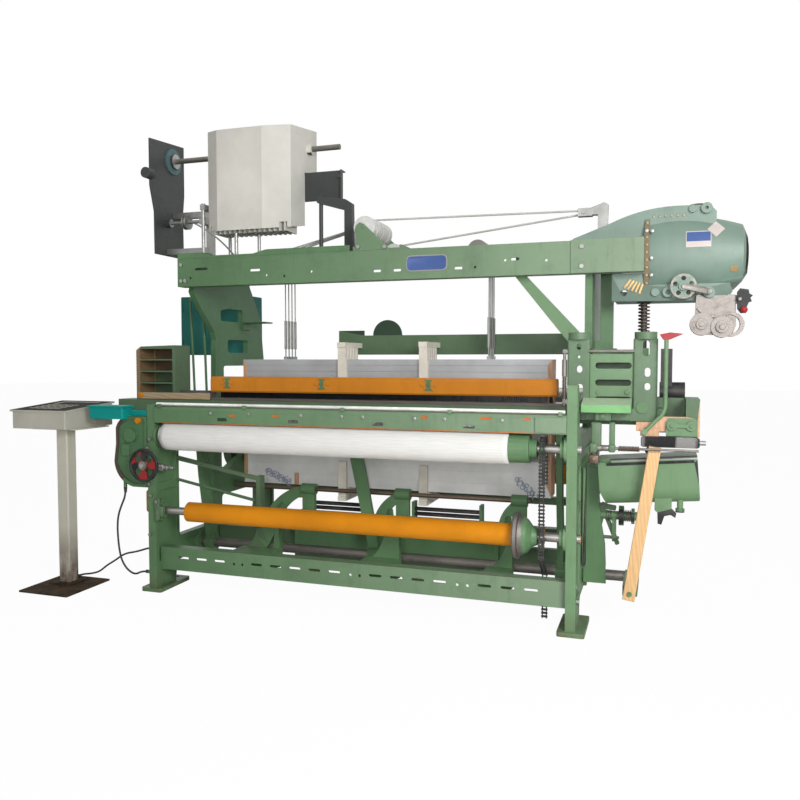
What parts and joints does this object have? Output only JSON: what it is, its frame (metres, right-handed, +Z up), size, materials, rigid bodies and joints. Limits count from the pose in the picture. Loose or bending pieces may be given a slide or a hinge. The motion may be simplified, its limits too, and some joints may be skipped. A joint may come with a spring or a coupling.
{
  "type": "power loom",
  "caption": "Wide power loom with heald frames, rocking slay, shuttle boxes, take-up and cloth rollers, overhead beam with a dobby at one end and a jacquard head at the other, and a console.",
  "frame": {"origin": "middle of the four floor anchor holes, on the floor", "axes": "+X along the loom to the dobby end, +Y from the weaver to the warp side, +Z up"},
  "size_m": [3.598, 2.0038, 2.48],
  "materials": {
    "frame_green": "green machine enamel, satin",
    "light_green": "pale green machine enamel, satin",
    "dobby_green": "blue-green enamel, satin",
    "steel": "bright turned steel",
    "dark_steel": "blackened steel",
    "orange": "orange enamel, satin",
    "cloth": "white woven cloth",
    "wood": "pale varnished wood",
    "brown": "brown enamel",
    "grey": "warm grey enamel",
    "teal": "teal enamel",
    "cream": "cream enamel",
    "stave_grey": "grey anodised",
    "black": "black",
    "cable_black": "black sheath",
    "silver": "bare casting"
  },
  "bodies": {
    "frame": {"left_side_frame": "frame_green", "right_side_frame": "light_green", "left_arch": "frame_green", "right_arch": "light_green", "top_beam": "frame_green", "beam_fittings": "frame_green", "breast_beam": "frame_green", "breast_rod": "steel", "cross_rails": "frame_green", "heald_guide_rail": "frame_green", "heald_guides": "cream", "pull_rods": "steel", "take_up_chain": "dark_steel", "belt_guard": "frame_green", "end_tray": "teal", "spring_boxes": "frame_green", "return_levers": "dark_steel", "dobby_housing": "dobby_green", "dobby_gearbox": "silver", "dobby_column": "dark_steel", "jacquard_head": "grey", "jacquard_stand": "dark_steel", "pedestal": "grey", "console_box": "grey", "rear_cabinet": "teal", "guard_cable": "cable_black", "console_cable": "cable_black", "pick_guard": "light_green", "frame_bolts": "steel"},
    "slay": {"slay_swords": "frame_green", "slay_beam": "frame_green", "race_board": "wood", "reed": "dark_steel", "reed_cap": "orange", "left_box_walls": "wood", "left_shuttle_boxes": "brown", "right_box_guide": "light_green", "picker_box": "orange"},
    "drop_box_stack": {"drop_boxes": "cream"},
    "picking_stick": {"picking_stick": "wood"},
    "heald_1": {"heald_frame_1": "stave_grey"},
    "heald_2": {"heald_frame_2": "stave_grey"},
    "heald_3": {"heald_frame_3": "stave_grey"},
    "heald_4": {"heald_frame_4": "stave_grey"},
    "left_sheaves": {"sheave_left": "orange"},
    "right_sheaves": {"sheave_right": "orange"},
    "upper_roller": {"roller_upper": "cloth"},
    "lower_roller": {"roller_lower": "cloth"},
    "take_up": {"take_up_roller": "frame_green", "cloth": "cloth"},
    "cloth_beam": {"cloth_roller": "orange", "roller_flange": "steel"},
    "handwheel": {"handwheel": "black", "handwheel_shaft": "steel"},
    "crankshaft": {"crankshaft": "steel"},
    "warp_beam": {"warp_beam": "orange"},
    "whip_roller": {"whip_roller": "steel"},
    "ratchet_disc": {"dobby_disc": "silver"},
    "hand_lever": {"dobby_hand_lever": "black"},
    "jacquard_shaft": {"jacquard_shaft": "steel"}
  },
  "joints": [
    {"name": "slay_rock", "type": "hinge", "parent": "frame", "child": "slay", "pos_m": [0, -0.2225, 0.172], "axis": [1, 0, 0], "range_deg": [-5, 3]},
    {"name": "drop_box_lift", "type": "slide", "parent": "slay", "child": "drop_box_stack", "axis": [0, 0, 1], "range_m": [0, 0.152]},
    {"name": "stick_swing", "type": "hinge", "parent": "slay", "child": "picking_stick", "pos_m": [1.3, -0.5045, 0.172], "axis": [0, 1, 0], "range_deg": [-6, 4]},
    {"name": "heald_lift_1", "type": "slide", "parent": "frame", "child": "heald_1", "axis": [0, 0, 1], "range_m": [-0.045, 0.045]},
    {"name": "heald_lift_2", "type": "slide", "parent": "frame", "child": "heald_2", "axis": [0, 0, 1], "range_m": [-0.045, 0.045]},
    {"name": "heald_lift_3", "type": "slide", "parent": "frame", "child": "heald_3", "axis": [0, 0, 1], "range_m": [-0.045, 0.045]},
    {"name": "heald_lift_4", "type": "slide", "parent": "frame", "child": "heald_4", "axis": [0, 0, 1], "range_m": [-0.045, 0.045]},
    {"name": "left_sheave_turn", "type": "hinge", "parent": "frame", "child": "left_sheaves", "pos_m": [-0.515, -0.0225, 1.755], "axis": [0, 1, 0], "range_deg": [-50, 50]},
    {"name": "right_sheave_turn", "type": "hinge", "parent": "frame", "child": "right_sheaves", "pos_m": [0.519, -0.0225, 1.755], "axis": [0, 1, 0], "range_deg": [-50, 50]},
    {"name": "upper_roller_turn", "type": "hinge", "parent": "frame", "child": "upper_roller", "pos_m": [-0.013, -0.1825, 1.862], "axis": [0, 1, 0], "range_deg": [-50, 50]},
    {"name": "lower_roller_turn", "type": "hinge", "parent": "frame", "child": "lower_roller", "pos_m": [0.12, -0.1485, 1.735], "axis": [0, 1, 0], "range_deg": [-50, 50]},
    {"name": "take_up_turn", "type": "hinge", "parent": "frame", "child": "take_up", "pos_m": [0, -0.6025, 0.807], "axis": [1, 0, 0], "continuous": true},
    {"name": "cloth_beam_turn", "type": "hinge", "parent": "frame", "child": "cloth_beam", "pos_m": [0, -0.6025, 0.418], "axis": [1, 0, 0], "continuous": true},
    {"name": "handwheel_turn", "type": "hinge", "parent": "frame", "child": "handwheel", "pos_m": [-1.062, -0.7065, 0.662], "axis": [0, 1, 0], "continuous": true},
    {"name": "crank_turn", "type": "hinge", "parent": "frame", "child": "crankshaft", "pos_m": [0, 0.3275, 0.64], "axis": [1, 0, 0], "continuous": true},
    {"name": "warp_beam_turn", "type": "hinge", "parent": "frame", "child": "warp_beam", "pos_m": [0, 0.8675, 0.5], "axis": [1, 0, 0], "continuous": true},
    {"name": "whip_roller_turn", "type": "hinge", "parent": "frame", "child": "whip_roller", "pos_m": [0, 0.6975, 0.985], "axis": [1, 0, 0], "continuous": true},
    {"name": "ratchet_disc_turn", "type": "hinge", "parent": "frame", "child": "ratchet_disc", "pos_m": [1.505, -0.2625, 1.524], "axis": [0, 1, 0], "continuous": true},
    {"name": "hand_lever_swing", "type": "hinge", "parent": "frame", "child": "hand_lever", "pos_m": [1.738, -0.2985, 1.462], "axis": [0, 1, 0], "range_deg": [-15, 8]},
    {"name": "jacquard_shaft_turn", "type": "hinge", "parent": "frame", "child": "jacquard_shaft", "pos_m": [-0.8, -0.0325, 2.355], "axis": [1, 0, 0], "continuous": true}
  ],
  "couplings": [
    {"joint": "cloth_beam_turn", "follows": "take_up_turn", "ratio": 1}
  ]
}
